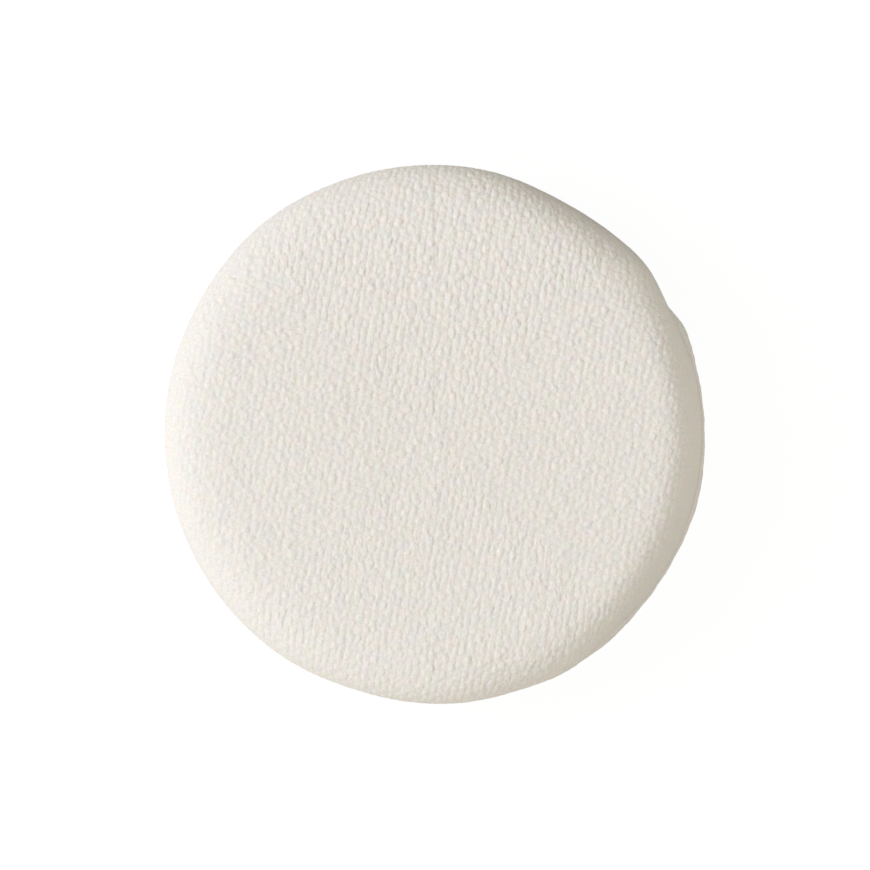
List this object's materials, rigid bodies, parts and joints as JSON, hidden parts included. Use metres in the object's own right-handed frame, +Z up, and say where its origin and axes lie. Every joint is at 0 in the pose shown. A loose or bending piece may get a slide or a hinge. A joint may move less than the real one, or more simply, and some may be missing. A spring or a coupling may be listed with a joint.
{
  "type": "powder puff",
  "caption": "Round velour powder puff: soft panels sewn at the rim and turned out over a foam disc, with a satin finger ribbon across the back for dabbing on powder.",
  "frame": {"origin": "middle of the flat that the back rests on", "axes": "+Z up through the powder face, +Y along the finger ribbon, +X across it"},
  "size_m": [0.075, 0.075, 0.016],
  "materials": {
    "velour": "matte",
    "foam": "matte",
    "satin_ribbon": "satin",
    "sewing_thread": "matte"
  },
  "bodies": {
    "puff": {"front_panel": "velour", "back_panel": "velour", "foam_core": "foam", "needle_thread": "sewing_thread", "bobbin_thread": "sewing_thread", "closing_thread": "sewing_thread"},
    "finger_band": {"finger_ribbon": "satin_ribbon"}
  },
  "joints": [
    {"name": "band_lift", "type": "slide", "parent": "puff", "child": "finger_band", "axis": [0, 0, -1], "range_m": [0, 0.008], "deforming": ["finger_ribbon"]}
  ]
}
